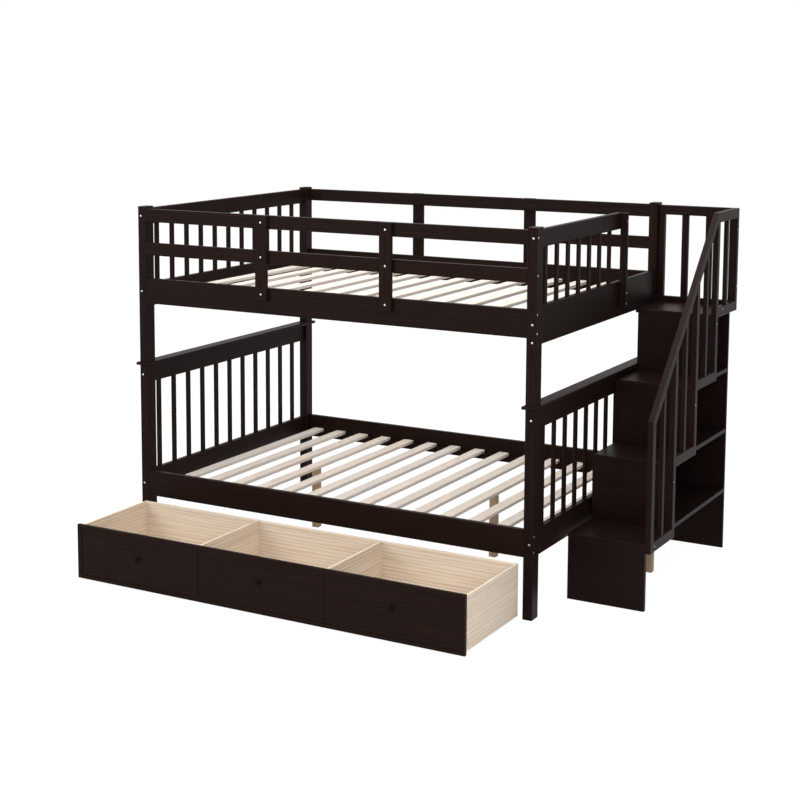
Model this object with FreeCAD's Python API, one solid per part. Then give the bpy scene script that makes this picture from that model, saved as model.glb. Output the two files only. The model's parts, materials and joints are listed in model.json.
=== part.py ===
import FreeCAD, Part
import math
import os

# Full-over-full bunk bed with a flight of storage stairs at the right end and a long drawer
# on casters. Millimetres. X runs along the bed to the stairs, Y from the front to the back,
# Z up. Positions here count from the outer front corner of the left front post; the finished
# pieces are moved so that the origin lies on the floor under the middle of that post.

V = FreeCAD.Vector
ACROSS = V(1, 0, 0)
UP = V(0, 0, 1)

# ---- bed frame ------------------------------------------------------------------------
BED_LENGTH = 2011.0
BED_DEPTH = 1475.0
POST_X = 43.0
POST_Y = 65.0
POST_EASE = 3.0
POST_TOP = 1632.0
CAP_UNDERSIDE = 886.0
CAP_THICK = 15.0
CAP_OVERHANG = 12.0
CAP_ROUND = 6.0
EASE = 2.0

RAIL_THICK = 25.0
RAIL_INSET = 2.0
RAIL_HEIGHT = 118.0
LOWER_RAIL_Z = 264.0
UPPER_RAIL_Z = 1180.0

GUARD_THICK = 22.0
GUARD_TOP_Z = 1622.0
GUARD_TOP_HEIGHT = 61.0
GUARD_MID_Z = 1406.0
GUARD_MID_HEIGHT = 59.0
UPRIGHT_WIDE = 60.0
UPRIGHT_THICK = 18.0
UPRIGHT_CLEAR = 570.0
UPRIGHT_BOTTOM = 1242.0

END_THICK = 25.0
END_INSET = 4.0
LOWER_END_BOTTOM = (264.0, 378.0)
LOWER_END_TOP_BOTTOM = 800.0
UPPER_END_TOP_BOTTOM = 1548.0
UPPER_LEFT_BOTTOM = (1162.0, 1272.0)
UPPER_RIGHT_BOTTOM = (1150.0, 1310.0)
BALUSTER_WIDE = 25.0
BALUSTER_THICK = 12.0
BALUSTERS = 11
FIRST_BALUSTER = 44.0
LAST_BALUSTER_GAP = 91.0
TENON = 8.0
TENON_CLEAR = 0.2

ENTRY_GAP = 460.0
ENTRY_POST_X = 34.0
ENTRY_POST_Y = 18.0
ENTRY_POST_BOTTOM = 1190.0

SLATS = 14
SLAT_WIDE = 56.0
SLAT_THICK = 16.0
SLAT_BELOW_RAIL = 66.0
SLAT_FIRST = 105.0
SLAT_CLEAR = 1.5
CLEAT_WIDE = 25.0
CLEAT_HIGH = 28.0
CLEAT_END = 20.0
LEG = 35.0
LEG_SLAT = 4

# ---- pins between the bunks --------------------------------------------------------------
PIN_R = 5.0
PIN_CLEAR = 0.1
PIN_BITE = 25.0
PIN_SPARE = 3.0

# ---- stairs ---------------------------------------------------------------------------
STAIR_GAP = 0.5
TREAD_LENGTH = 345.5
STAIR_BACK_INSET = 45.4
STAIR_DEPTH = 1084.6
RISE = 290.0
GOING = 266.0
LEVELS = 4
TREAD_THICK = 18.0
TREAD_ROUND = 5.0
RISER = 20.0
PANEL = 15.0
GUARD_FRAME = 24.0
NEWEL_WIDE = 36.0
NEWEL_TOP = 815.0
STILE_WIDE = 32.0
HANDRAIL = 36.0
LEVEL_RAIL = 45.0
FIRST_RAIL_DROP = 21.0
SIDE_BALUSTER_X = 18.0
SIDE_BALUSTER_Y = 24.0
CORNER_POST_X = 38.0
WALL_STILE_X = 30.0
BACK_BALUSTERS = 2
BACK_BALUSTER_X = 31.0

# ---- drawer (drawn pulled out, as it stands when open) -----------------------------------
DRAWER_LENGTH = 1917.7
DRAWER_DEPTH = 497.8
DRAWER_OUT = 529.0
FRONT_HEIGHT = 246.0
FRONT_THICK = 18.0
FRONT_FLOOR_GAP = 9.0
BOX_INSET = 2.0
BOX_THICK = 12.0
BOX_FLOOR_GAP = 22.0
BOX_BELOW_FRONT = 8.0
DRAWER_INSIDE = 162.5
BOTTOM_THICK = 9.0
GROOVE = 6.0
GROOVE_CLEAR = 0.2
COMPARTMENTS = 3
FIELD_MARGIN = 22.0
FIELD_EDGE = 12.0
FIELD_SINK = 3.0
KNOB_R = 13.0
KNOB_FOOT_R = 9.0
KNOB_WAIST_R = 6.5
KNOB_REACH = 22.0
KNOB_DOME = 6.0
KNOB_RAISED = 12.0
CASTER_IN = 90.0
CASTER_END = 105.0
WHEEL_R = 22.0
WHEEL_WIDE = 16.0
WHEEL_BEVEL = 2.0
WHEEL_BORE_CLEAR = 0.06
AXLE_R = 3.0
BRACKET_WALL = 2.5
BRACKET_SIDE = 1.0
BRACKET_PLATE = 40.0
BRACKET_SHOULDER = 17.6
BRACKET_TOE = 6.0


# ---- shapes ---------------------------------------------------------------------------
def box(x0, x1, y0, y1, z0, z1):
    return Part.makeBox(x1 - x0, y1 - y0, z1 - z0, V(x0, y0, z0))


def long_edges(solid, axis):
    """The edges of a board that run along one axis for its full length."""
    span = [solid.BoundBox.XLength, solid.BoundBox.YLength, solid.BoundBox.ZLength][axis]
    found = []
    for edge in solid.Edges:
        ends = [v.Point for v in edge.Vertexes]
        if len(ends) == 2 and abs(abs(ends[0][axis] - ends[1][axis]) - span) < 0.01:
            found.append(edge)
    return found


def board(x0, x1, y0, y1, z0, z1, axis, ease=EASE):
    """A planed board with its long edges eased."""
    solid = box(x0, x1, y0, y1, z0, z1)
    return solid.makeChamfer(ease, long_edges(solid, axis))


def outline(points, axis, start, thick):
    """A flat outline, given as (across, up) pairs, pushed along X (0) or Y (1)."""
    if axis == 0:
        ring = [V(start, a, b) for a, b in points]
        push = V(thick, 0, 0)
    else:
        ring = [V(a, start, b) for a, b in points]
        push = V(0, thick, 0)
    return Part.Face(Part.makePolygon(ring + ring[:1])).extrude(push)


def rod(x, y, z, axis, radius, length):
    return Part.makeCylinder(radius, length, V(x, y, z), axis)


def group(solids):
    return Part.makeCompound(solids)


def even_starts(low, high, count, size):
    """Where equal pieces begin when they stand with equal gaps between two faces."""
    gap = (high - low - count * size) / (count + 1)
    return [low + gap + i * (gap + size) for i in range(count)]


nodes = {}

# ---- lines that several pieces share --------------------------------------------------
RIGHT_POST = BED_LENGTH - POST_X
BACK_POST = BED_DEPTH - POST_Y
CAP_TOP = CAP_UNDERSIDE + CAP_THICK
GUARD_TOP_BOTTOM = GUARD_TOP_Z - GUARD_TOP_HEIGHT
RAIL_FRONT_Y = (RAIL_INSET, RAIL_INSET + RAIL_THICK)
RAIL_BACK_Y = (BED_DEPTH - RAIL_INSET - RAIL_THICK, BED_DEPTH - RAIL_INSET)
GUARD_FRONT_Y = (RAIL_INSET, RAIL_INSET + GUARD_THICK)
GUARD_BACK_Y = (BED_DEPTH - RAIL_INSET - GUARD_THICK, BED_DEPTH - RAIL_INSET)
END_LEFT_X = (END_INSET, END_INSET + END_THICK)
END_RIGHT_X = (BED_LENGTH - END_INSET - END_THICK, BED_LENGTH - END_INSET)
ENTRY_POST_END = BACK_POST - ENTRY_GAP
ENTRY_POST_START = ENTRY_POST_END - ENTRY_POST_Y
# The balusters begin close to the front post and leave a full gap before the back post. As
# many as fit stand between the front post and the entry post.
FIRST_BALUSTER_Y = POST_Y + FIRST_BALUSTER
LAST_BALUSTER_Y = BACK_POST - LAST_BALUSTER_GAP - BALUSTER_WIDE
BALUSTER_PITCH = (LAST_BALUSTER_Y - FIRST_BALUSTER_Y) / (BALUSTERS - 1)
ENTRY_ROOM = ENTRY_POST_START - BALUSTER_WIDE - FIRST_BALUSTER_Y
ENTRY_BALUSTERS = 1 + math.floor(ENTRY_ROOM / BALUSTER_PITCH)
UPRIGHT_STARTS = (
    BED_LENGTH / 2 - UPRIGHT_CLEAR / 2 - UPRIGHT_WIDE,
    BED_LENGTH / 2 + UPRIGHT_CLEAR / 2,
)

# ---- pins that locate the upper posts on the lower ones ----------------------------------
pins = []
pin_holes = []
pin_reach = CAP_THICK + 2 * PIN_BITE
for x in (POST_X / 2, BED_LENGTH - POST_X / 2):
    for y in (POST_Y / 2, BED_DEPTH - POST_Y / 2):
        low = CAP_UNDERSIDE - PIN_BITE
        pins.append(rod(x, y, low, UP, PIN_R, pin_reach))
        hole_reach = pin_reach + 2 * PIN_SPARE
        pin_holes.append(rod(x, y, low - PIN_SPARE, UP, PIN_R + PIN_CLEAR, hole_reach))
nodes["bunk_pins"] = group(pins)


# ---- posts, cap boards ----------------------------------------------------------------
def post(x, y, z0, z1):
    return board(x, x + POST_X, y, y + POST_Y, z0, z1, 2, POST_EASE).cut(pin_holes)


for side_x, x in (("left", 0), ("right", RIGHT_POST)):
    for side_y, y in (("front", 0), ("back", BACK_POST)):
        nodes[f"lower_post_{side_y}_{side_x}"] = post(x, y, 0, CAP_UNDERSIDE)
        nodes[f"upper_post_{side_y}_{side_x}"] = post(x, y, CAP_TOP, POST_TOP)


def cap_board(x):
    """A board with a bull nose on all four sides, mitred at the corners."""
    solid = box(
        x - CAP_OVERHANG,
        x + POST_X + CAP_OVERHANG,
        -CAP_OVERHANG,
        BED_DEPTH + CAP_OVERHANG,
        CAP_UNDERSIDE,
        CAP_TOP,
    )
    rims = [e for e in solid.Edges if e.BoundBox.ZLength < 0.01]
    return solid.makeFillet(CAP_ROUND, rims).cut(pin_holes)


nodes["cap_board_left"] = cap_board(0)
nodes["cap_board_right"] = cap_board(RIGHT_POST)

# ---- side rails, guard rails, uprights --------------------------------------------------
for level, z in (("lower", LOWER_RAIL_Z), ("upper", UPPER_RAIL_Z)):
    for side, y in (("front", RAIL_FRONT_Y), ("back", RAIL_BACK_Y)):
        rail = board(POST_X, RIGHT_POST, *y, z, z + RAIL_HEIGHT, 0)
        nodes[f"{level}_side_rail_{side}"] = rail

for side, y in (("front", GUARD_FRONT_Y), ("back", GUARD_BACK_Y)):
    top = board(POST_X, RIGHT_POST, *y, GUARD_TOP_BOTTOM, GUARD_TOP_Z, 0)
    middle = board(POST_X, RIGHT_POST, *y, GUARD_MID_Z, GUARD_MID_Z + GUARD_MID_HEIGHT, 0)
    nodes[f"guard_top_rail_{side}"] = top
    nodes[f"guard_middle_rail_{side}"] = middle

for side, y in (("front", RAIL_INSET - UPRIGHT_THICK), ("back", BED_DEPTH - RAIL_INSET)):
    pair = []
    for x in UPRIGHT_STARTS:
        y1 = y + UPRIGHT_THICK
        pair.append(board(x, x + UPRIGHT_WIDE, y, y1, UPRIGHT_BOTTOM, GUARD_TOP_Z, 2))
    nodes[f"guard_uprights_{side}"] = group(pair)


# ---- end panels -----------------------------------------------------------------------
def end_panel(name, rail_x, top, bottom, count, top_end=BACK_POST):
    """Two rails with balusters tenoned into both; top and bottom are (low, high) heights
    and top_end is where the top rail stops."""
    middle = sum(rail_x) / 2
    low = bottom[1] - TENON
    high = top[0] + TENON
    balusters = []
    mortises = []
    for index in range(count):
        y = FIRST_BALUSTER_Y + index * BALUSTER_PITCH
        half = BALUSTER_THICK / 2
        balusters.append(box(middle - half, middle + half, y, y + BALUSTER_WIDE, low, high))
        half += TENON_CLEAR
        y0 = y - TENON_CLEAR
        y1 = y + BALUSTER_WIDE + TENON_CLEAR
        span = (low - TENON_CLEAR, high + TENON_CLEAR)
        mortises.append(box(middle - half, middle + half, y0, y1, *span))
    top_rail = board(*rail_x, POST_Y, top_end, *top, 1)
    bottom_rail = board(*rail_x, POST_Y, BACK_POST, *bottom, 1)
    nodes[f"{name}_top_rail"] = top_rail.cut(mortises)
    nodes[f"{name}_bottom_rail"] = bottom_rail.cut(mortises)
    nodes[f"{name}_balusters"] = group(balusters)


lower_top = (LOWER_END_TOP_BOTTOM, CAP_UNDERSIDE)
upper_top = (UPPER_END_TOP_BOTTOM, GUARD_TOP_Z)
end_panel("lower_end_left", END_LEFT_X, lower_top, LOWER_END_BOTTOM, BALUSTERS)
end_panel("lower_end_right", END_RIGHT_X, lower_top, LOWER_END_BOTTOM, BALUSTERS)
end_panel("upper_end_left", END_LEFT_X, upper_top, UPPER_LEFT_BOTTOM, BALUSTERS)
end_panel(
    "upper_end_right",
    END_RIGHT_X,
    upper_top,
    UPPER_RIGHT_BOTTOM,
    ENTRY_BALUSTERS,
    ENTRY_POST_END,
)
nodes["entry_post"] = board(
    END_RIGHT_X[1],
    END_RIGHT_X[1] + ENTRY_POST_X,
    ENTRY_POST_START,
    ENTRY_POST_END,
    ENTRY_POST_BOTTOM,
    GUARD_TOP_Z,
    2,
)

# ---- cleats, slats, legs --------------------------------------------------------------
cleats = []
slat_pitch = (BED_LENGTH - 2 * SLAT_FIRST) / (SLATS - 1)
slat_centres = [SLAT_FIRST + i * slat_pitch for i in range(SLATS)]
slat_y = (RAIL_FRONT_Y[1] + SLAT_CLEAR, RAIL_BACK_Y[0] - SLAT_CLEAR)
for level, rail_z in (("lower", LOWER_RAIL_Z), ("upper", UPPER_RAIL_Z)):
    slat_top = rail_z + RAIL_HEIGHT - SLAT_BELOW_RAIL
    cleat_top = slat_top - SLAT_THICK
    for y in (RAIL_FRONT_Y[1], RAIL_BACK_Y[0] - CLEAT_WIDE):
        x0 = POST_X + CLEAT_END
        x1 = RIGHT_POST - CLEAT_END
        cleats.append(board(x0, x1, y, y + CLEAT_WIDE, cleat_top - CLEAT_HIGH, cleat_top, 0))
    slats = []
    for x in slat_centres:
        half = SLAT_WIDE / 2
        slats.append(board(x - half, x + half, *slat_y, cleat_top, slat_top, 1))
    nodes[f"{level}_slats"] = group(slats)
nodes["slat_cleats"] = group(cleats)

lower_slat_underside = LOWER_RAIL_Z + RAIL_HEIGHT - SLAT_BELOW_RAIL - SLAT_THICK
STAIR_LEFT = BED_LENGTH + CAP_OVERHANG + STAIR_GAP
STAIR_RIGHT = STAIR_LEFT + TREAD_LENGTH
GUARD_RIGHT = STAIR_RIGHT + GUARD_FRAME
STAIR_BACK = BED_DEPTH - STAIR_BACK_INSET
STAIR_FRONT = STAIR_BACK - STAIR_DEPTH


def leg(x, y, top):
    return board(x - LEG / 2, x + LEG / 2, y - LEG / 2, y + LEG / 2, 0, top, 2)


legs = [
    leg(slat_centres[LEG_SLAT - 1], BED_DEPTH / 2, lower_slat_underside),
    leg(slat_centres[SLATS - LEG_SLAT], BED_DEPTH / 2, lower_slat_underside),
    leg((STAIR_LEFT + STAIR_RIGHT) / 2, (STAIR_FRONT + STAIR_BACK) / 2, RISE - TREAD_THICK),
]
nodes["support_legs"] = group(legs)


# ---- stairs: treads, risers, back and side panels ----------------------------------------
def riser_face(level):
    return STAIR_FRONT + GOING * (level - 1)


def tread_top(level):
    return RISE * level


PANEL_FRONT = STAIR_BACK - PANEL


def tread(level):
    """A tread with an eased front edge that runs on to the back as a shelf. Above the
    first, its back part is narrower by the side panel that stands beside it."""
    top = tread_top(level)
    low = top - TREAD_THICK
    landing = level == LEVELS
    x0 = BED_LENGTH + STAIR_GAP if landing else STAIR_LEFT
    y0 = riser_face(level)
    y1 = STAIR_BACK if landing else PANEL_FRONT
    solid = box(x0, STAIR_RIGHT, y0, y1, low, top)
    if 1 < level < LEVELS:
        notch_y = riser_face(level + 1) + RISER
        solid = solid.cut(box(x0, STAIR_LEFT + PANEL, notch_y, y1, low, top))
    front_top = [
        e
        for e in solid.Edges
        if e.BoundBox.YMax < y0 + 1 and e.BoundBox.ZMin > low + 1 and e.BoundBox.XLength > PANEL
    ]
    return solid.makeFillet(TREAD_ROUND, front_top)


for level in range(1, LEVELS + 1):
    nodes[f"stair_tread_{level}"] = tread(level)

risers = []
for level in range(1, LEVELS + 1):
    y = riser_face(level)
    z0 = tread_top(level - 1)
    z1 = tread_top(level) - TREAD_THICK
    risers.append(box(STAIR_LEFT, STAIR_RIGHT, y, y + RISER, z0, z1))
nodes["stair_risers"] = group(risers)

landing_underside = tread_top(LEVELS) - TREAD_THICK
nodes["stair_back_panel"] = box(
    STAIR_LEFT, STAIR_RIGHT, PANEL_FRONT, STAIR_BACK, 0, landing_underside
)

steps = [(PANEL_FRONT, tread_top(1)), (PANEL_FRONT, landing_underside)]
for level in range(LEVELS, 1, -1):
    behind = riser_face(level) + RISER
    steps.append((behind, tread_top(level) - TREAD_THICK))
    below = tread_top(1) if level == 2 else tread_top(level - 1) - TREAD_THICK
    steps.append((behind, below))
nodes["stair_side_panel"] = outline(steps, 0, STAIR_LEFT, PANEL)

# ---- stair guard: a stile stands at every riser, the newel at the first -------------------
frame_x = (STAIR_RIGHT, GUARD_RIGHT)
guard_back = STAIR_BACK + GUARD_FRAME
level_low = GUARD_TOP_Z - LEVEL_RAIL
stile_y = []
for level in range(1, LEVELS + 1):
    wide = NEWEL_WIDE if level == 1 else STILE_WIDE
    stile_y.append((riser_face(level), riser_face(level) + wide))

# The handrail rises straight from the newel's front edge to the level rail over the last
# stile, and the two meet in a mitre.
rake_start = stile_y[0][0]
rake_end = stile_y[-1][0]
rake_slope = (GUARD_TOP_Z - NEWEL_TOP) / (rake_end - rake_start)
rake_drop = HANDRAIL * math.sqrt(1 + rake_slope**2)
mitre_y = rake_start + (level_low + rake_drop - NEWEL_TOP) / rake_slope


def rake_under(y):
    """Height of the underside of the handrail, or of the level rail behind the mitre."""
    return min(NEWEL_TOP + rake_slope * (y - rake_start) - rake_drop, level_low)


def guard_side(points):
    """An outline in the plane of the guard's side frame, in its full thickness."""
    return outline(points, 0, STAIR_RIGHT, GUARD_FRAME)


nodes["stair_handrail"] = guard_side(
    [
        (rake_start, NEWEL_TOP),
        (rake_end, GUARD_TOP_Z),
        (mitre_y, level_low),
        (rake_start, NEWEL_TOP - rake_drop),
    ]
)
side_top = guard_side(
    [
        (rake_end, GUARD_TOP_Z),
        (guard_back, GUARD_TOP_Z),
        (guard_back, level_low),
        (mitre_y, level_low),
    ]
)
back_top = board(BED_LENGTH, STAIR_RIGHT, STAIR_BACK, guard_back, level_low, GUARD_TOP_Z, 0)
nodes["stair_guard_top_rails"] = group([side_top, back_top])


def step_rail_z(level):
    """The bottom rails cover the tread ends; the first one hangs a little lower."""
    low = tread_top(level) - TREAD_THICK
    if level == 1:
        low -= FIRST_RAIL_DROP
    return low, low + LEVEL_RAIL


def under_rake(x0, x1, y0, y1, z0):
    """A stick from z0 up to the handrail, its top cut to fit."""
    bends = [y0] + [y for y in [mitre_y] if y0 < y < y1] + [y1]
    return outline([(y1, z0), (y0, z0)] + [(y, rake_under(y)) for y in bends], 0, x0, x1 - x0)


guard_posts = []
for index, (y0, y1) in enumerate(stile_y):
    guard_posts.append(under_rake(*frame_x, y0, y1, step_rail_z(max(index, 1))[0]))
landing_rail = step_rail_z(LEVELS)
corner_x = GUARD_RIGHT - CORNER_POST_X
wall_x = (BED_LENGTH, BED_LENGTH + WALL_STILE_X)
for x0, x1 in ((corner_x, GUARD_RIGHT), wall_x):
    guard_posts.append(box(x0, x1, STAIR_BACK, guard_back, landing_rail[0], level_low))
nodes["stair_guard_posts"] = group(guard_posts)

bottom_rails = []
side_sticks = []
stick_x = (
    STAIR_RIGHT + (GUARD_FRAME - SIDE_BALUSTER_X) / 2,
    STAIR_RIGHT + (GUARD_FRAME + SIDE_BALUSTER_X) / 2,
)
rail_ends = [y0 for y0, y1 in stile_y[1:]] + [STAIR_BACK]
for level in range(1, LEVELS + 1):
    y0 = stile_y[level - 1][1]
    y1 = rail_ends[level - 1]
    z0, z1 = step_rail_z(level)
    bottom_rails.append(board(*frame_x, y0, y1, z0, z1, 1))
    middle = (y0 + y1) / 2
    half = SIDE_BALUSTER_Y / 2
    side_sticks.append(under_rake(*stick_x, middle - half, middle + half, z1))
bottom_rails.append(board(wall_x[1], corner_x, STAIR_BACK, guard_back, *landing_rail, 0))
stick_y = (
    STAIR_BACK + (GUARD_FRAME - SIDE_BALUSTER_X) / 2,
    STAIR_BACK + (GUARD_FRAME + SIDE_BALUSTER_X) / 2,
)
for x in even_starts(wall_x[1], corner_x, BACK_BALUSTERS, BACK_BALUSTER_X):
    side_sticks.append(box(x, x + BACK_BALUSTER_X, *stick_y, landing_rail[1], level_low))
nodes["stair_guard_bottom_rails"] = group(bottom_rails)
nodes["stair_guard_balusters"] = group(side_sticks)

# ---- drawer ---------------------------------------------------------------------------
front_x0 = (BED_LENGTH - DRAWER_LENGTH) / 2
front_x1 = front_x0 + DRAWER_LENGTH
front_y0 = -DRAWER_OUT
front_y1 = front_y0 + FRONT_THICK
front_z1 = FRONT_FLOOR_GAP + FRONT_HEIGHT
box_x0 = front_x0 + BOX_INSET
box_x1 = front_x1 - BOX_INSET
box_y1 = front_y0 + DRAWER_DEPTH
box_z1 = front_z1 - BOX_BELOW_FRONT
floor_top = box_z1 - DRAWER_INSIDE
floor_low = floor_top - BOTTOM_THICK
inner_x0 = box_x0 + BOX_THICK
inner_x1 = box_x1 - BOX_THICK
inner_y1 = box_y1 - BOX_THICK

bottom_board = box(
    inner_x0 - GROOVE,
    inner_x1 + GROOVE,
    front_y1 - GROOVE,
    inner_y1 + GROOVE,
    floor_low,
    floor_top,
)
groove_room = box(
    inner_x0 - GROOVE - GROOVE_CLEAR,
    inner_x1 + GROOVE + GROOVE_CLEAR,
    front_y1 - GROOVE - GROOVE_CLEAR,
    inner_y1 + GROOVE + GROOVE_CLEAR,
    floor_low - GROOVE_CLEAR,
    floor_top + GROOVE_CLEAR,
)


def knob(x, y, z):
    """A turned knob: a foot on the field, a waist and a domed head."""
    rim = y - KNOB_REACH + KNOB_DOME
    tip = y - KNOB_REACH
    dome_r = (KNOB_R**2 + KNOB_DOME**2) / (2 * KNOB_DOME)
    half_turn = math.asin(KNOB_R / dome_r) / 2
    crown = V(
        x + dome_r * math.sin(half_turn),
        tip + dome_r * (1 - math.cos(half_turn)),
        z,
    )
    corners = [
        V(x, y, z),
        V(x + KNOB_FOOT_R, y, z),
        V(x + KNOB_WAIST_R, (y + rim) / 2, z),
        V(x + KNOB_R, rim, z),
    ]
    edges = [Part.makeLine(p, q) for p, q in zip(corners, corners[1:])]
    edges.append(Part.Arc(corners[-1], crown, V(x, tip, z)).toShape())
    edges.append(Part.makeLine(V(x, tip, z), corners[0]))
    return Part.Face(Part.Wire(edges)).revolve(corners[0], V(0, 1, 0), 360)


front = board(front_x0, front_x1, front_y0, front_y1, FRONT_FLOOR_GAP, front_z1, 0)
field_low = FRONT_FLOOR_GAP + FIELD_EDGE
field_high = front_z1 - FIELD_EDGE
fields_x = (front_x0 + FIELD_MARGIN, front_x1 - FIELD_MARGIN)
field_long = (fields_x[1] - fields_x[0] - (COMPARTMENTS - 1) * FIELD_EDGE) / COMPARTMENTS
knob_z = (field_low + field_high) / 2 + KNOB_RAISED
fields = []
knobs = []
for index in range(COMPARTMENTS):
    x = fields_x[0] + index * (field_long + FIELD_EDGE)
    fields.append(
        box(x, x + field_long, front_y0 - 1, front_y0 + FIELD_SINK, field_low, field_high)
    )
    knobs.append(knob(x + field_long / 2, front_y0 + FIELD_SINK, knob_z))
nodes["drawer_front"] = front.cut(fields).cut(groove_room)
nodes["drawer_knobs"] = group(knobs)

sides = []
for x in (box_x0, inner_x1):
    side = board(x, x + BOX_THICK, front_y1, box_y1, BOX_FLOOR_GAP, box_z1, 1)
    sides.append(side.cut(groove_room))
nodes["drawer_sides"] = group(sides)
back = board(inner_x0, inner_x1, inner_y1, box_y1, BOX_FLOOR_GAP, box_z1, 0)
nodes["drawer_back"] = back.cut(groove_room)
nodes["drawer_bottom"] = bottom_board
divider_starts = []
room = (inner_x1 - inner_x0 - (COMPARTMENTS - 1) * BOX_THICK) / COMPARTMENTS
for index in range(1, COMPARTMENTS):
    divider_starts.append(inner_x0 + index * room + (index - 1) * BOX_THICK)
dividers = [
    board(x, x + BOX_THICK, front_y1, inner_y1, floor_top, box_z1, 1) for x in divider_starts
]
nodes["drawer_dividers"] = group(dividers)

# ---- casters: a bent bracket with its axle, and a wheel that turns on it -----------------
caster_xs = (box_x0 + CASTER_END, BED_LENGTH / 2, box_x1 - CASTER_END)
caster_rows = {"front": front_y1 + CASTER_IN, "back": inner_y1 - CASTER_IN}
inner_half = WHEEL_WIDE / 2 + BRACKET_SIDE
outer_half = inner_half + BRACKET_WALL


def caster_bracket(x, y):
    plate_low = floor_low - BRACKET_WALL
    half = BRACKET_PLATE / 2
    plate = box(x - half, x + half, y - half, y + half, plate_low, floor_low)
    ear_outline = [
        (y - BRACKET_SHOULDER, plate_low),
        (y + BRACKET_SHOULDER, plate_low),
        (y + BRACKET_TOE, WHEEL_R - BRACKET_TOE),
        (y - BRACKET_TOE, WHEEL_R - BRACKET_TOE),
    ]
    solid = plate
    for side_x in (x - outer_half, x + inner_half):
        solid = solid.fuse(outline(ear_outline, 0, side_x, BRACKET_WALL))
    axle = rod(x - outer_half, y, WHEEL_R, ACROSS, AXLE_R, 2 * outer_half)
    return solid.fuse(axle).removeSplitter()


def wheel(x, y):
    """A wheel with bevelled rims, revolved round its bore."""
    bore = AXLE_R + WHEEL_BORE_CLEAR
    half = WHEEL_WIDE / 2
    profile = [
        (x - half, bore),
        (x - half, WHEEL_R - WHEEL_BEVEL),
        (x - half + WHEEL_BEVEL, WHEEL_R),
        (x + half - WHEEL_BEVEL, WHEEL_R),
        (x + half, WHEEL_R - WHEEL_BEVEL),
        (x + half, bore),
    ]
    ring = [V(a, y, WHEEL_R + r) for a, r in profile]
    face = Part.Face(Part.makePolygon(ring + ring[:1]))
    return face.revolve(V(x, y, WHEEL_R), V(-1, 0, 0), 360)


brackets = []
for row, y in caster_rows.items():
    nodes[f"{row}_wheels"] = group([wheel(x, y) for x in caster_xs])
    brackets += [caster_bracket(x, y) for x in caster_xs]
nodes["caster_brackets"] = group(brackets)

# ---- export ---------------------------------------------------------------------------
post_middle = V(POST_X / 2, POST_Y / 2, 0)
os.makedirs("parts", exist_ok=True)
for name, shape in nodes.items():
    shape.translated(-post_middle).exportStep(f"parts/{name}.step")
print(len(nodes), "nodes")
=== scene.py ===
import json
import math
import random

import bmesh
import bpy
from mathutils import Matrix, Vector


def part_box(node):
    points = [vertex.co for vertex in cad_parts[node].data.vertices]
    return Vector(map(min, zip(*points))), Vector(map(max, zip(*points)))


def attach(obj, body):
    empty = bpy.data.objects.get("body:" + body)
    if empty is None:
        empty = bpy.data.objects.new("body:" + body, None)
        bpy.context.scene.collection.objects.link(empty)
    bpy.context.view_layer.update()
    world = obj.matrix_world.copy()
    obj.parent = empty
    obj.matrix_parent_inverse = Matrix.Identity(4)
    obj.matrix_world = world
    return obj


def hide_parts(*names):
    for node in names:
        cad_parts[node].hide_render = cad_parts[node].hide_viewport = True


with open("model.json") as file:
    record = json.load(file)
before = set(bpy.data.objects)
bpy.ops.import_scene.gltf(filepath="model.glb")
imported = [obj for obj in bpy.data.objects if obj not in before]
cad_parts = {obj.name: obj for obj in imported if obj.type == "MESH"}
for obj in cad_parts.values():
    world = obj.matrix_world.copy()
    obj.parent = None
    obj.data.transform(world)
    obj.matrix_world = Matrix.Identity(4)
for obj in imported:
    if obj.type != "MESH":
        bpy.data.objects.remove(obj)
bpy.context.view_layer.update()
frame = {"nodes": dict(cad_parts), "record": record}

MM = 0.001
NODES = frame["nodes"]
BODIES = frame["record"]["behaviour"]["bodies"]
BODY_OF = {node: body for body, members in BODIES.items() for node in members}
SCENE = bpy.context.scene

# ---- camera -----------------------------------------------------------------------------
# The photograph shows the uprights parallel, and its optical axis stands left of and above
# the middle of the frame. A small shift and a pitch of seven degrees give its framing.
FRAME_WIDE = 800.0
FOCAL_LENGTH = 1614.441
AXIS_AT = (336.0, 268.0)
PITCH, HEADING = math.radians(7.037), math.radians(30.772)

lens_data = bpy.data.cameras.new("camera")
camera = bpy.data.objects.new("camera", lens_data)
SCENE.collection.objects.link(camera)
SCENE.camera = camera
lens_data.sensor_width = 36.0
lens_data.lens = FOCAL_LENGTH * lens_data.sensor_width / FRAME_WIDE
lens_data.shift_x = 0.5 - AXIS_AT[0] / FRAME_WIDE
lens_data.shift_y = AXIS_AT[1] / FRAME_WIDE - 0.5
camera.location = (4.590152, -5.977922, 2.265248)
camera.rotation_euler = (math.radians(90) - PITCH, 0.0, HEADING)


# ---- materials --------------------------------------------------------------------------
def linear(hex_colour):
    """An sRGB hex value as a linear colour."""
    out = []
    for i in (1, 3, 5):
        share = int(hex_colour[i : i + 2], 16) / 255
        out.append(share / 12.92 if share <= 0.04045 else ((share + 0.055) / 1.055) ** 2.4)
    return (*out, 1.0)


def add(tree, kind, links=None, stops=(), **settings):
    """A node with its settings. A key that names an input sets its value, any other is a
    property of the node; links name the input and the socket that feeds it; stops are the
    places and colours of a colour ramp."""
    node = tree.nodes.new(kind)
    for place, _ in stops[2:]:
        node.color_ramp.elements.new(place)
    for element, (place, colour) in zip(node.color_ramp.elements if stops else (), stops):
        element.position = place
        element.color = linear(colour)
    for key, value in settings.items():
        if key.startswith("in_"):
            name = key[3:].replace("_", " ")
            node.inputs[int(name) if name.isdigit() else name].default_value = value
        else:
            setattr(node, key, value)
    for key, socket in (links or {}).items():
        tree.links.new(socket, node.inputs[key])
    return node


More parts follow.
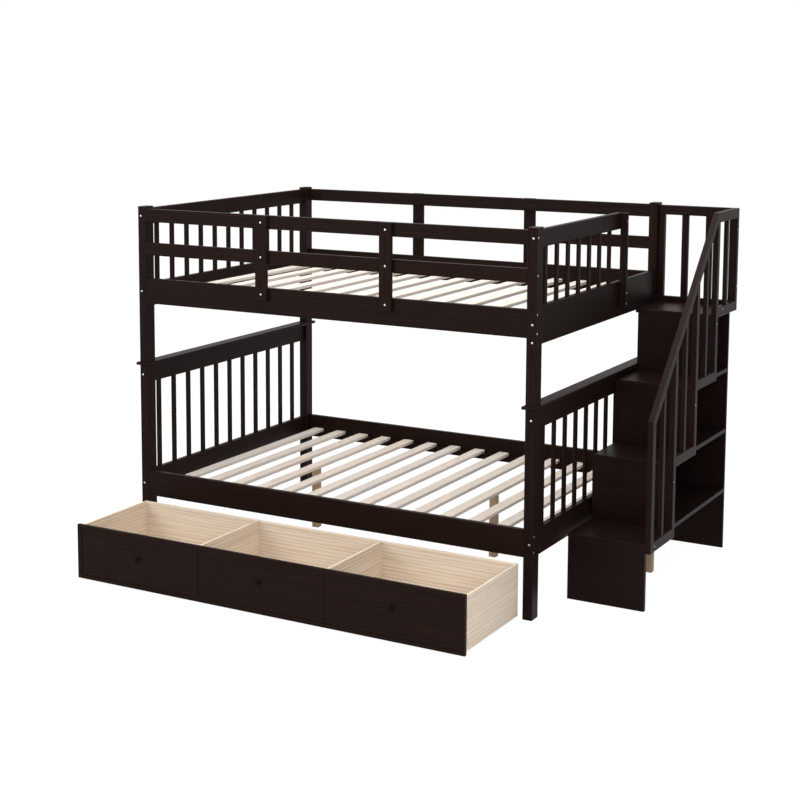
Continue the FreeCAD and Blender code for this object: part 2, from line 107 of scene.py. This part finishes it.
def new_material(name):
    material = bpy.data.materials.new(name)
    material.use_nodes = True
    tree = material.node_tree
    tree.nodes.clear()
    return material, tree


def finish_material(tree, shader):
    add(tree, "ShaderNodeOutputMaterial", {"Surface": shader.outputs[0]})


def grain_place(tree, along, across):
    """The piece's own grain coordinates, in metres, turned into pattern lengths: one unit of
    the pattern is `along` mm with the grain and `across` mm over it."""
    own = add(tree, "ShaderNodeAttribute", attribute_name="grain")
    scale = Vector((1000 / along, 1000 / across, 1000 / across))
    return add(tree, "ShaderNodeMapping", {"Vector": own.outputs["Vector"]}, in_Scale=scale)


def wood(name, stain, contrast, tone_swing, warm, roughness, gloss, coat, relief_depth):
    """Softwood. Late wood makes lines about 16 mm apart that wander and fade over 600 mm: a
    wave of scale 0.157 has a band every two units, of 8 mm each. Streaks are 5 mm wide and
    500 mm long, fibres 1.4 mm by 90 mm, and pores 0.5 mm by 12 mm. stain holds the dark,
    middle and light colour, contrast the share of lines and streaks."""
    material, tree = new_material(name)
    wander = add(
        tree, "ShaderNodeTexNoise", {"Vector": grain_place(tree, 620, 26).outputs[0]},
        in_Scale=1.0, in_Detail=3.0, in_Roughness=0.55, in_Distortion=0.6,
    )
    pushed = add(
        tree, "ShaderNodeVectorMath",
        {0: wander.outputs["Color"], 2: grain_place(tree, 1500, 8).outputs[0]},
        operation="MULTIPLY_ADD", in_1=(3.0, 3.0, 3.0),
    )
    rings = add(
        tree, "ShaderNodeTexWave", {"Vector": pushed.outputs[0]},
        wave_type="BANDS", bands_direction="Y", wave_profile="SIN",
        in_Scale=0.157, in_Distortion=3.5, in_Detail=3.0, in_Detail_Scale=0.7,
    )
    streaks = add(
        tree, "ShaderNodeTexNoise", {"Vector": grain_place(tree, 500, 5).outputs[0]},
        in_Scale=1.0, in_Detail=4.0, in_Roughness=0.55,
    )
    fibres = add(
        tree, "ShaderNodeTexNoise", {"Vector": grain_place(tree, 90, 1.4).outputs[0]},
        in_Scale=1.0, in_Detail=4.0, in_Roughness=0.6,
    )
    lines, streak_share = contrast
    ring_part = add(
        tree, "ShaderNodeMath", {0: rings.outputs["Fac"]}, operation="MULTIPLY", in_1=lines
    )
    streak_part = add(
        tree, "ShaderNodeMath", {0: streaks.outputs["Fac"], 2: ring_part.outputs[0]},
        operation="MULTIPLY_ADD", in_1=streak_share,
    )
    figure = add(
        tree, "ShaderNodeMath", {0: fibres.outputs["Fac"], 2: streak_part.outputs[0]},
        operation="MULTIPLY_ADD", in_1=1 - lines - streak_share,
    )
    colour = add(
        tree, "ShaderNodeValToRGB", {"Fac": figure.outputs[0]},
        stops=list(zip((0.28, 0.50, 0.74), stain)),
    )
    board = add(tree, "ShaderNodeAttribute", attribute_name="tone")
    swing = add(
        tree, "ShaderNodeMapRange", {"Value": board.outputs["Fac"]},
        in_To_Min=1 - tone_swing, in_To_Max=1 + tone_swing,
    )
    hue = add(
        tree, "ShaderNodeMapRange", {"Value": board.outputs["Fac"]},
        in_To_Min=1 - warm, in_To_Max=1 + warm,
    )
    toned = add(
        tree, "ShaderNodeHueSaturation",
        {"Color": colour.outputs[0], "Value": swing.outputs[0], "Saturation": hue.outputs[0]},
    )
    pores = add(
        tree, "ShaderNodeTexNoise", {"Vector": grain_place(tree, 12, 0.5).outputs[0]},
        in_Scale=1.0, in_Detail=2.0, in_Roughness=0.5,
    )
    rough = add(
        tree, "ShaderNodeMapRange", {"Value": streak_part.outputs[0]},
        in_From_Min=0.2, in_From_Max=0.6,
        in_To_Min=roughness - 0.08, in_To_Max=roughness + 0.10,
    )
    relief = add(
        tree, "ShaderNodeMath", {0: fibres.outputs["Fac"], 1: pores.outputs["Fac"]},
        operation="ADD",
    )
    bump = add(
        tree, "ShaderNodeBump", {"Height": relief.outputs[0]},
        in_Strength=relief_depth, in_Distance=0.0004,
    )
    shader = add(
        tree, "ShaderNodeBsdfPrincipled",
        {
            "Base Color": toned.outputs[0],
            "Roughness": rough.outputs[0],
            "Normal": bump.outputs[0],
        },
        in_Coat_Weight=coat, in_Coat_Roughness=0.34, in_IOR=1.5, in_Specular_IOR_Level=gloss,
    )
    finish_material(tree, shader)
    return material


# Pine stained espresso and lacquered: a near black-brown with a red cast that lets the late
# wood show as faint lines. The satin lacquer greys where it is seen at a low angle.
espresso = wood(
    "espresso_stained_pine", ("#130a08", "#1b110e", "#271a16"), (0.10, 0.38),
    tone_swing=0.10, warm=0.12, roughness=0.46, gloss=0.04, coat=0.0, relief_depth=0.30,
)
# Planed pine slats without any finish: pale, matt, with rosy late wood.
bare_pine = wood(
    "bare_planed_pine", ("#bfaea0", "#d4c8bd", "#e1d8cf"), (0.08, 0.50),
    tone_swing=0.035, warm=0.15, roughness=0.62, gloss=0.30, coat=0.0, relief_depth=0.5,
)
# The drawer box is cut from pine board with a thin clear coat: cream with faint tan lines.
drawer_pine = wood(
    "clear_coated_pine", ("#b6987a", "#d5c3ae", "#e6dacb"), (0.11, 0.52),
    tone_swing=0.03, warm=0.12, roughness=0.5, gloss=0.30, coat=0.05, relief_depth=0.4,
)
# The legs under the slats: a copy of the pale pine, darkened and browned as painted shade for
# the shade under the bed, and rougher than the planed boards.
shade_darkened_pine = wood(
    "shade_darkened_pine", ("#947a5f", "#ae9478", "#c4ad92"), (0.10, 0.45),
    tone_swing=0.03, warm=0.10, roughness=0.7, gloss=0.25, coat=0.0, relief_depth=0.7,
)


def zinc_plated_steel():
    """Zinc-plated steel: bright grey with a faint blue cast and soft spangle."""
    material, tree = new_material("zinc_plated_steel")
    place = add(tree, "ShaderNodeTexCoord")
    spangle = add(
        tree, "ShaderNodeTexNoise", {"Vector": place.outputs["Object"]},
        in_Scale=400.0, in_Detail=2.0,
    )
    colour = add(
        tree, "ShaderNodeValToRGB", {"Fac": spangle.outputs["Fac"]},
        stops=[(0.3, "#c4c7cb"), (0.7, "#e0e2e4")],
    )
    rough = add(
        tree, "ShaderNodeMapRange", {"Value": spangle.outputs["Fac"]},
        in_To_Min=0.22, in_To_Max=0.38,
    )
    shader = add(
        tree, "ShaderNodeBsdfPrincipled",
        {"Base Color": colour.outputs[0], "Roughness": rough.outputs[0]},
        in_Metallic=1.0,
    )
    finish_material(tree, shader)
    return material


def caster_tyre():
    """Grey thermoplastic rubber tread: matt, with fine scuffs round the rim."""
    material, tree = new_material("thermoplastic_rubber")
    place = add(tree, "ShaderNodeTexCoord")
    scuffs = add(
        tree, "ShaderNodeTexNoise", {"Vector": place.outputs["Object"]},
        in_Scale=260.0, in_Detail=4.0, in_Roughness=0.65,
    )
    colour = add(
        tree, "ShaderNodeValToRGB", {"Fac": scuffs.outputs["Fac"]},
        stops=[(0.35, "#1e1e20"), (0.75, "#3a3a3c")],
    )
    bump = add(
        tree, "ShaderNodeBump", {"Height": scuffs.outputs["Fac"]},
        in_Strength=0.3, in_Distance=0.0003,
    )
    shader = add(
        tree, "ShaderNodeBsdfPrincipled",
        {"Base Color": colour.outputs[0], "Normal": bump.outputs[0]},
        in_Roughness=0.7,
    )
    finish_material(tree, shader)
    return material


def knob_enamel():
    """Turned beech knobs enamelled near black: a smooth satin film with a little orange peel."""
    material, tree = new_material("black_enamelled_beech")
    place = add(tree, "ShaderNodeTexCoord")
    peel = add(
        tree, "ShaderNodeTexNoise", {"Vector": place.outputs["Object"]},
        in_Scale=700.0, in_Detail=1.0,
    )
    colour = add(
        tree, "ShaderNodeValToRGB", {"Fac": peel.outputs["Fac"]},
        stops=[(0.3, "#0c0706"), (0.7, "#140c0a")],
    )
    bump = add(
        tree, "ShaderNodeBump", {"Height": peel.outputs["Fac"]},
        in_Strength=0.15, in_Distance=0.0002,
    )
    shader = add(
        tree, "ShaderNodeBsdfPrincipled",
        {"Base Color": colour.outputs[0], "Normal": bump.outputs[0]},
        in_Roughness=0.42, in_Specular_IOR_Level=0.05,
    )
    finish_material(tree, shader)
    return material


steel = zinc_plated_steel()
tyre = caster_tyre()
enamel = knob_enamel()


# ---- where bolts and screws stand -------------------------------------------------------
FRONT, BACK = Vector((0, -1, 0)), Vector((0, 1, 0))
LEFT, RIGHT = Vector((-1, 0, 0)), Vector((1, 0, 0))
# Sizes of a head and of the counterbore that it lies in.
BOLT = {"radius": 4.6, "high": 1.2, "sunk": 1.4, "hole": 5.2}
SCREW = {"radius": 3.6, "high": 0.8, "sunk": 1.0, "hole": 4.0}

# Heights of the bolts above the floor, on the posts' front and back faces, their end faces,
# the uprights of the guard rails, and the entry post. The right posts have one more at front
# and back, under the side rail.
SIDE_BOLTS = (1588, 1236, 841, 321)
LOWER_SIDE_BOLT = 1163
END_BOLTS = (1591, 1436, 1277, 1200, 354, 288)
UPRIGHT_BOLTS = (1591, 1436, 1270)
ENTRY_BOLTS = (1585, 1259, 1211)
# Distances of the bolts from the ends and sides of the bed, and from an upright's edge.
SIDE_BOLT_IN = 16.5
END_BOLT_IN = 14.5
UPRIGHT_BOLT_IN = 30
# Places of the guard's screws: back from the front of the bed, and above the floor.
GUARD_SCREWS = (
    (395, 275), (625, 499), (890, 789), (1158, 1115), (1240, 1176), (1442, 1521), (1442, 1257),
)


def box_in_mm(node):
    """A node's box: (x0, y0, z0, x1, y1, z1)."""
    low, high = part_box(node)
    return [c / MM for c in low] + [c / MM for c in high]


bed_x0, bed_y0 = box_in_mm("lower_post_front_left")[:2]
bed_x1, bed_y1 = box_in_mm("lower_post_back_right")[3:5]
bolts = []
for y, way in ((bed_y0, FRONT), (bed_y1, BACK)):
    for x in (bed_x0 + SIDE_BOLT_IN, bed_x1 - SIDE_BOLT_IN):
        bolts += [((x, y, z), way) for z in SIDE_BOLTS]
    bolts.append(((bed_x1 - SIDE_BOLT_IN, y, LOWER_SIDE_BOLT), way))
for x, way in ((bed_x0, LEFT), (bed_x1, RIGHT)):
    for y in (bed_y0 + END_BOLT_IN, bed_y1 - END_BOLT_IN):
        bolts += [((x, y, z), way) for z in END_BOLTS]
for side, way in (("front", FRONT), ("back", BACK)):
    x0, y0, _, x1, y1, _ = box_in_mm(f"guard_uprights_{side}")
    face = y0 if side == "front" else y1
    for x in (x0 + UPRIGHT_BOLT_IN, x1 - UPRIGHT_BOLT_IN):
        bolts += [((x, face, z), way) for z in UPRIGHT_BOLTS]
_, y0, _, x1, y1, _ = box_in_mm("entry_post")
bolts += [((x1, (y0 + y1) / 2, z), RIGHT) for z in ENTRY_BOLTS]

guard_x = box_in_mm("stair_guard_posts")[3]
screws = [((guard_x, bed_y0 + y, z), RIGHT) for y, z in GUARD_SCREWS]

# ---- boards -----------------------------------------------------------------------------
# Each board of a CAD node is copied, its edges are softened, and it gets its own grain:
# coordinates that run with its longest edge, shifted so that no two boards share a pattern.
# The treads are deeper than they are wide, and their grain still runs over their width.
TREADS = {f"stair_tread_{k}" for k in (1, 2, 3, 4)}
TREAD_GRAIN = Vector((1, 0, 0))
# Corners within SAME_PLACE metres are one corner, and faces within FLAT are one face.
SAME_PLACE = 1e-6
FLAT = math.radians(1)
# The long edges of a board turn by more than ARRIS. Those that are softened turn by more
# than SHARP_ARRIS and are longer than the chords of a drilled hole.
ARRIS = math.radians(10)
SHARP_ARRIS = math.radians(28)
LONGEST_CHORD = 2.2 * MM
# An axis that lies nearly along the grain has less than this share of its length over it.
LEAST_OVER = 0.3
# Two boards' patterns lie up to this many metres apart.
FAR_APART = 40
chance = random.Random(7)


def islands(mesh):
    """The boards of a mesh, as lists of vertices."""
    seen = set()
    found = []
    for start in mesh.verts:
        if start in seen:
            continue
        seen.add(start)
        stack, group = [start], []
        while stack:
            vert = stack.pop()
            group.append(vert)
            for edge in vert.link_edges:
                other = edge.other_vert(vert)
                if other not in seen:
                    seen.add(other)
                    stack.append(other)
        found.append(group)
    return found


def soften(mesh, width):
    """Rounds the arrises of a board; the short chords of drilled holes stay as they are."""
    sharp = [
        e
        for e in mesh.edges
        if len(e.link_faces) == 2
        and e.calc_length() > LONGEST_CHORD
        and e.calc_face_angle(0) > SHARP_ARRIS
        and e.is_convex
    ]
    bmesh.ops.bevel(
        mesh, geom=sharp, offset=width, segments=2, profile=0.5, affect="EDGES",
        clamp_overlap=True,
    )


def show(name, mesh, material, node, sharp_at=40, flat_sides=False):
    """Makes a mesh into a piece that stands for a CAD node and moves with its body. With
    flat_sides, the shading of wide faces stays flat up to the softened edge."""
    data = bpy.data.meshes.new(name)
    mesh.to_mesh(data)
    mesh.free()
    data.materials.append(material)
    piece = bpy.data.objects.new(name, data)
    SCENE.collection.objects.link(piece)
    data.shade_smooth()
    data.set_sharp_from_angle(angle=math.radians(sharp_at))
    if flat_sides:
        by_area = piece.modifiers.new("flat_sides", "WEIGHTED_NORMAL")
        by_area.keep_sharp = True
        by_area.weight = 80
        graph = bpy.context.evaluated_depsgraph_get()
        shaded = bpy.data.meshes.new_from_object(
            piece.evaluated_get(graph), preserve_all_data_layers=True, depsgraph=graph
        )
        piece.modifiers.clear()
        piece.data = shaded
    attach(piece, BODY_OF[node])
    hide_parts(node)
    return piece


def merged(node):
    """The mesh of a CAD node with its flat faces whole."""
    mesh = bmesh.new()
    mesh.from_mesh(NODES[node].data)
    bmesh.ops.remove_doubles(mesh, verts=mesh.verts, dist=SAME_PLACE)
    bmesh.ops.dissolve_limit(mesh, angle_limit=FLAT, verts=mesh.verts, edges=mesh.edges)
    return mesh


def turn(mesh, profile, centre, axis, around, count=56):
    """Turns a profile of (distance along the axis, radius) in mm round the axis. A profile
    that starts and ends on a radius of zero is closed there, any other closes on itself."""
    sideways = axis.cross(around)
    rings = []
    for reach, radius in profile:
        if radius == 0:
            rings.append([mesh.verts.new(centre + axis * reach * MM)])
            continue
        ring = []
        for k in range(count):
            angle = k * math.tau / count
            out = around * math.cos(angle) + sideways * math.sin(angle)
            ring.append(mesh.verts.new(centre + (axis * reach + out * radius) * MM))
        rings.append(ring)
    pairs = list(zip(rings, rings[1:]))
    if profile[0][1] > 0:
        pairs.append((rings[-1], rings[0]))
    for a, b in pairs:
        for k in range(count):
            n = (k + 1) % count
            corners = (a[k % len(a)], a[n % len(a)], b[n % len(b)], b[k % len(b)])
            mesh.faces.new(list(dict.fromkeys(corners)))


def drilled(node, mesh, near=0.3, over=2):
    """The board with a counterbore for each bolt and screw within `near` mm of its box. The
    drill reaches `over` mm out of the board."""
    low, high = box_in_mm(node)[:3], box_in_mm(node)[3:]
    cutter = bmesh.new()
    for places, kind in ((bolts, BOLT), (screws, SCREW)):
        deep, hole = -kind["sunk"], kind["hole"]
        drill = [(deep, 0), (deep, hole), (over, hole), (over, 0)]
        for point, way in places:
            if all(a - near < c < b + near for a, c, b in zip(low, point, high)):
                turn(cutter, drill, Vector(point) * MM, way, Vector((0, 0, 1)), 32)
    if not cutter.verts:
        cutter.free()
        return mesh
    bmesh.ops.recalc_face_normals(cutter, faces=cutter.faces)
    pair = []
    for source in (mesh, cutter):
        data = bpy.data.meshes.new("blank")
        source.to_mesh(data)
        source.free()
        pair.append(bpy.data.objects.new("blank", data))
        SCENE.collection.objects.link(pair[-1])
    cut = pair[0].modifiers.new("counterbores", "BOOLEAN")
    cut.operation, cut.solver, cut.object = "DIFFERENCE", "EXACT", pair[1]
    graph = bpy.context.evaluated_depsgraph_get()
    made = bpy.data.meshes.new_from_object(pair[0].evaluated_get(graph))
    for blank in pair:
        bpy.data.objects.remove(blank)
    bored = bmesh.new()
    bored.from_mesh(made)
    return bored


def grain_frame(group, along=None):
    """The three directions of a board's grain: with it, over its width, through it."""
    if along is None:
        arrises = {e for v in group for e in v.link_edges if e.calc_face_angle(0) > ARRIS}
        longest = max(arrises, key=lambda e: e.calc_length())
        along = (longest.verts[1].co - longest.verts[0].co).normalized()
        if max(along, key=abs) < 0:
            along.negate()
    spans = []
    for axis in (Vector((1, 0, 0)), Vector((0, 1, 0)), Vector((0, 0, 1))):
        over = axis - along * axis.dot(along)
        if over.length > LEAST_OVER:
            over.normalize()
            reach = [v.co.dot(over) for v in group]
            spans.append((max(reach) - min(reach), over))
    over = max(spans, key=lambda s: s[0])[1]
    return along, over, along.cross(over)


# On the drawer front of the photograph the frame is broader than on the CAD node: the rails
# above and below the fields by RAIL_MORE, each side of the stiles between them by STILE_MORE.
RAIL_MORE = 6.5 * MM
STILE_MORE = 3.0 * MM


def trim_fields(mesh):
    """Draws the edges of the drawer's sunk fields in, up to the broader frame."""
    front = min(v.co.y for v in mesh.verts)
    fields = [f for f in mesh.faces if f.normal.y < -0.9 and f.verts[0].co.y > front + MM]
    sides = [v.co.x for f in fields for v in f.verts]
    outer = (min(sides), max(sides))
    moved = {}
    for field in fields:
        centre = field.calc_center_bounds()
        for corner in field.verts:
            inwards = Vector(
                (
                    math.copysign(STILE_MORE, centre.x - corner.co.x),
                    0,
                    math.copysign(RAIL_MORE, centre.z - corner.co.z),
                )
            )
            if min(abs(corner.co.x - end) for end in outer) < MM:
                inwards.x = 0
            for vert in mesh.verts:
                if (vert.co - corner.co).xz.length < 0.01 * MM and vert.co.y < corner.co.y + MM:
                    moved[vert] = vert.co + inwards
    for vert, place in moved.items():
        vert.co = place


def boards(node, material, width, along=None):
    """A copy of a CAD node with softened edges and its own grain, which replaces the node."""
    mesh = drilled(node, merged(node))
    if node == "drawer_front":
        trim_fields(mesh)
    soften(mesh, width)
    bmesh.ops.triangulate(mesh, faces=[f for f in mesh.faces if len(f.verts) > 4])
    grain = mesh.verts.layers.float_vector.new("grain")
    tone = mesh.verts.layers.float.new("tone")
    for group in islands(mesh):
        directions = grain_frame(group, along)
        shift = Vector([chance.uniform(0, FAR_APART) for _ in range(3)])
        shade = chance.random()
        for vert in group:
            vert[grain] = Vector([vert.co.dot(d) for d in directions]) + shift
            vert[tone] = shade
    return show(f"{node}_wood", mesh, material, node, flat_sides=True)


def middles(node):
    """The box of each separate solid of a CAD node, as (low, high) corners."""
    mesh = bmesh.new()
    mesh.from_mesh(NODES[node].data)
    bmesh.ops.remove_doubles(mesh, verts=mesh.verts, dist=SAME_PLACE)
    boxes = []
    for group in islands(mesh):
        low = Vector([min(v.co[i] for v in group) for i in range(3)])
        high = Vector([max(v.co[i] for v in group) for i in range(3)])
        boxes.append((low, high))
    mesh.free()
    return boxes


# A knob is turned in one piece: a flat foot, a waist, a rolled rim and a low dome.
KNOB = [
    (0, 0), (0, 8.5), (0.5, 9.0), (1.6, 9.0), (2.7, 8.3), (4.6, 7.2), (8.0, 6.5), (10.6, 7.2),
    (13.0, 9.2), (14.8, 11.8), (15.6, 12.7), (16.3, 13.0), (17.2, 12.7), (18.8, 10.9),
    (20.4, 8.1), (21.5, 4.4), (22.0, 0),
]
# Half a wheel's section from the bore outwards: hub boss, dished web, rim, tyre, tread groove.
HALF_WHEEL = [
    (8.0, 3.2), (8.0, 5.6), (7.5, 6.3), (5.2, 7.2), (5.0, 15.2), (6.6, 16.2), (7.6, 16.8),
    (8.0, 18.2), (7.7, 20.4), (6.8, 21.6), (5.4, 22.0), (1.5, 22.0), (0.9, 21.3), (0, 21.2),
]
WHEEL = HALF_WHEEL + [(-reach, radius) for reach, radius in reversed(HALF_WHEEL[:-1])]


def knobs(node):
    mesh = bmesh.new()
    for low, high in middles(node):
        foot = Vector(((low.x + high.x) / 2, high.y, (low.z + high.z) / 2))
        turn(mesh, KNOB, foot, Vector((0, -1, 0)), Vector((0, 0, 1)))
    bmesh.ops.recalc_face_normals(mesh, faces=mesh.faces)
    return show(f"{node}_turned", mesh, enamel, node, 50)


def wheels(node):
    mesh = bmesh.new()
    for low, high in middles(node):
        turn(mesh, WHEEL, (low + high) / 2, Vector((1, 0, 0)), Vector((0, 0, 1)))
    bmesh.ops.recalc_face_normals(mesh, faces=mesh.faces)
    return show(f"{node}_moulded", mesh, tyre, node, 50)


def pressings(node):
    """Bent sheet and pins: the CAD shape with its edges broken."""
    mesh = merged(node)
    soften(mesh, 0.35 * MM)
    bmesh.ops.triangulate(mesh, faces=[f for f in mesh.faces if len(f.verts) > 4])
    return show(f"{node}_steel", mesh, steel, node)


for part in frame["record"]["subparts"]:
    node, slot = part["node"], part["material_slot"]
    if slot == "espresso_wood":
        boards(node, espresso, 0.8 * MM, TREAD_GRAIN if node in TREADS else None)
    elif slot == "pale_wood":
        # The support legs take the pine whose colour is darkened as painted shade.
        boards(node, shade_darkened_pine if node == "support_legs" else bare_pine, 0.8 * MM)
    elif slot == "drawer_wood":
        boards(node, drawer_pine, 0.6 * MM)
    elif slot == "knob_wood":
        knobs(node)
    elif slot == "caster_rubber":
        wheels(node)
    else:
        pressings(node)

# ---- bolt and screw heads ---------------------------------------------------------------
# A tree sets a head on every point, turned the way that the point faces.


def head_mesh(radius, proud):
    """A pan head with a soft rim, standing on z = 0. Its six-sided socket is 0.4 of the head
    wide and leaves a quarter of its height."""
    mesh = bmesh.new()
    rings = [
        (radius, 0.0), (radius, proud * 0.45), (radius * 0.93, proud * 0.8),
        (radius * 0.78, proud), (radius * 0.44, proud),
    ]
    count = 24
    angles = [k * math.tau / count for k in range(count)]
    loops = [
        [mesh.verts.new((r * math.cos(angle), r * math.sin(angle), z)) for angle in angles]
        for r, z in rings
    ]
    for depth in (proud, proud * 0.25):
        loops.append([])
        for angle in angles:
            flat = math.cos(math.pi / 6) / math.cos((angle % (math.pi / 3)) - math.pi / 6)
            r = radius * 0.40 * flat
            loops[-1].append(mesh.verts.new((r * math.cos(angle), r * math.sin(angle), depth)))
    for a, b in zip(loops, loops[1:]):
        for k in range(count):
            mesh.faces.new((a[k], a[(k + 1) % count], b[(k + 1) % count], b[k]))
    mesh.faces.new(loops[-1])
    mesh.faces.new(list(reversed(loops[0])))
    data = bpy.data.meshes.new("head")
    mesh.normal_update()
    mesh.to_mesh(data)
    mesh.free()
    return data


def heads_tree(name, head, material):
    """Geometry Nodes: a head on each point, turned to the stored facing, then made real."""
    tree = bpy.data.node_groups.new(name, "GeometryNodeTree")
    tree.interface.new_socket("Geometry", in_out="INPUT", socket_type="NodeSocketGeometry")
    size = tree.interface.new_socket("Head size", in_out="INPUT", socket_type="NodeSocketFloat")
    size.default_value = 1.0
    seed = tree.interface.new_socket("Seed", in_out="INPUT", socket_type="NodeSocketInt")
    seed.default_value = 3
    tree.interface.new_socket("Geometry", in_out="OUTPUT", socket_type="NodeSocketGeometry")
    entry = add(tree, "NodeGroupInput")
    holder = bpy.data.objects.new(name + "_head", head)
    SCENE.collection.objects.link(holder)
    held = add(tree, "GeometryNodeObjectInfo", transform_space="ORIGINAL")
    held.inputs["Object"].default_value = holder
    facing = add(tree, "GeometryNodeInputNamedAttribute", data_type="FLOAT_VECTOR")
    facing.inputs["Name"].default_value = "facing"
    aim = add(
        tree, "FunctionNodeAlignRotationToVector",
        {"Vector": facing.outputs["Attribute"]}, axis="Z",
    )
    spin = add(
        tree, "FunctionNodeRandomValue", {"Seed": entry.outputs["Seed"]},
        data_type="FLOAT", in_2=0.0, in_3=math.tau,
    )
    own = add(tree, "FunctionNodeAxisAngleToRotation", {"Angle": spin.outputs[1]})
    own.inputs["Axis"].default_value = (0, 0, 1)
    turned = add(
        tree, "FunctionNodeRotateRotation",
        {"Rotation": aim.outputs[0], "Rotate By": own.outputs[0]}, rotation_space="LOCAL",
    )
    placed = add(
        tree, "GeometryNodeInstanceOnPoints",
        {
            "Points": entry.outputs["Geometry"],
            "Instance": held.outputs["Geometry"],
            "Rotation": turned.outputs[0],
            "Scale": entry.outputs["Head size"],
        },
    )
    real = add(tree, "GeometryNodeRealizeInstances", {"Geometry": placed.outputs[0]})
    coated = add(tree, "GeometryNodeSetMaterial", {"Geometry": real.outputs[0]})
    coated.inputs["Material"].default_value = material
    add(tree, "NodeGroupOutput", {0: coated.outputs[0]})
    return tree, holder


def set_heads(name, body, places, kind):
    """A head in each counterbore. places are (point, facing) pairs in mm."""
    tree, holder = heads_tree(name, head_mesh(kind["radius"] * MM, kind["high"] * MM), steel)
    data = bpy.data.meshes.new(name + "_points")
    seats = [(Vector(point) - way * kind["sunk"]) * MM for point, way in places]
    data.from_pydata([tuple(seat) for seat in seats], [], [])
    facing = data.attributes.new("facing", "FLOAT_VECTOR", "POINT")
    for i, (_, way) in enumerate(places):
        facing.data[i].vector = way
    carrier = bpy.data.objects.new(name + "_carrier", data)
    SCENE.collection.objects.link(carrier)
    modifier = carrier.modifiers.new("heads", "NODES")
    modifier.node_group = tree
    for item in tree.interface.items_tree:
        if item.item_type == "SOCKET" and item.in_out == "INPUT" and item.name == "Head size":
            modifier[item.identifier] = 1.0
    graph = bpy.context.evaluated_depsgraph_get()
    made = bpy.data.meshes.new_from_object(carrier.evaluated_get(graph))
    bpy.data.objects.remove(carrier)
    bpy.data.objects.remove(holder)
    piece = bpy.data.objects.new(name, made)
    SCENE.collection.objects.link(piece)
    made.shade_smooth()
    made.set_sharp_from_angle(angle=math.radians(35))
    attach(piece, body)
    return piece


set_heads("frame_bolts", "bed", bolts, BOLT)
set_heads("guard_screws", "bed", screws, SCREW)

# ---- stage and light --------------------------------------------------------------------
def shown_white(tree):
    """One for the rays that show the background itself: from the camera, mirrored or through
    glass. The others light the object."""
    ray = add(tree, "ShaderNodeLightPath")
    either = add(
        tree, "ShaderNodeMath",
        {0: ray.outputs["Is Camera Ray"], 1: ray.outputs["Is Transmission Ray"]},
        operation="MAXIMUM",
    )
    return add(
        tree, "ShaderNodeMath", {0: either.outputs[0], 1: ray.outputs["Is Glossy Ray"]},
        operation="MAXIMUM",
    )


# The object is lit by a sky that is dim at the horizon and brighter overhead.
world = bpy.data.worlds.new("studio")
SCENE.world = world
world.use_nodes = True
sky = world.node_tree
sky.nodes.clear()
aim_at = add(sky, "ShaderNodeTexCoord")
height = add(sky, "ShaderNodeSeparateXYZ", {"Vector": aim_at.outputs["Generated"]})
brightness = add(
    sky, "ShaderNodeMapRange", {"Value": height.outputs["Z"]},
    in_From_Min=0.0, in_From_Max=0.9, in_To_Min=0.28, in_To_Max=0.85,
)
soft = add(sky, "ShaderNodeBackground", {"Strength": brightness.outputs[0]})
plain = add(sky, "ShaderNodeBackground", in_Strength=1.0)
for node in (soft, plain):
    node.inputs["Color"].default_value = (1, 1, 1, 1)
both = add(
    sky, "ShaderNodeMixShader",
    {0: shown_white(sky).outputs[0], 1: soft.outputs[0], 2: plain.outputs[0]},
)
add(sky, "ShaderNodeOutputWorld", {"Surface": both.outputs[0]})


def floor_paint():
    """White studio floor. To the camera 0.86 of it is its own light, and the rest takes the
    shadow; to the object it is plain matt paint."""
    material, tree = new_material("white_studio_floor")
    part = add(
        tree, "ShaderNodeMath", {0: shown_white(tree).outputs[0]}, operation="MULTIPLY",
        in_1=0.86,
    )
    matt = add(tree, "ShaderNodeBsdfDiffuse")
    matt.inputs["Color"].default_value = linear("#d6d6d6")
    bright = add(tree, "ShaderNodeEmission", in_Strength=1.12)
    mixed = add(
        tree, "ShaderNodeMixShader",
        {0: part.outputs[0], 1: matt.outputs[0], 2: bright.outputs[0]},
    )
    finish_material(tree, mixed)
    return material


FLOOR_REACH = 14.0
FLOOR_TOP = -1 * MM
floor_mesh = bpy.data.meshes.new("floor")
corners = [(-1, -1), (1, -1), (1, 1), (-1, 1)]
floor_mesh.from_pydata(
    [(x * FLOOR_REACH, y * FLOOR_REACH, FLOOR_TOP) for x, y in corners], [], [(0, 1, 2, 3)]
)
floor_mesh.materials.append(floor_paint())
floor = bpy.data.objects.new("floor", floor_mesh)
SCENE.collection.objects.link(floor)


def soft_box(name, place, aim, size, power):
    data = bpy.data.lights.new(name, "AREA")
    data.shape = "RECTANGLE"
    data.size, data.size_y = size
    data.energy = power
    lamp = bpy.data.objects.new(name, data)
    SCENE.collection.objects.link(lamp)
    lamp.location = place
    lamp.rotation_euler = (Vector(aim) - Vector(place)).to_track_quat("-Z", "Y").to_euler()


middle = (0.9, 0.4, 0.8)
soft_box("overhead", (0.6, 0.2, 5.2), middle, (4.5, 3.5), 250)
soft_box("front_left", (-2.6, -5.0, 3.0), middle, (3.0, 2.6), 140)
soft_box("front_right", (4.6, -3.6, 2.4), middle, (2.4, 2.4), 92)

SCENE.view_settings.view_transform = "Standard"
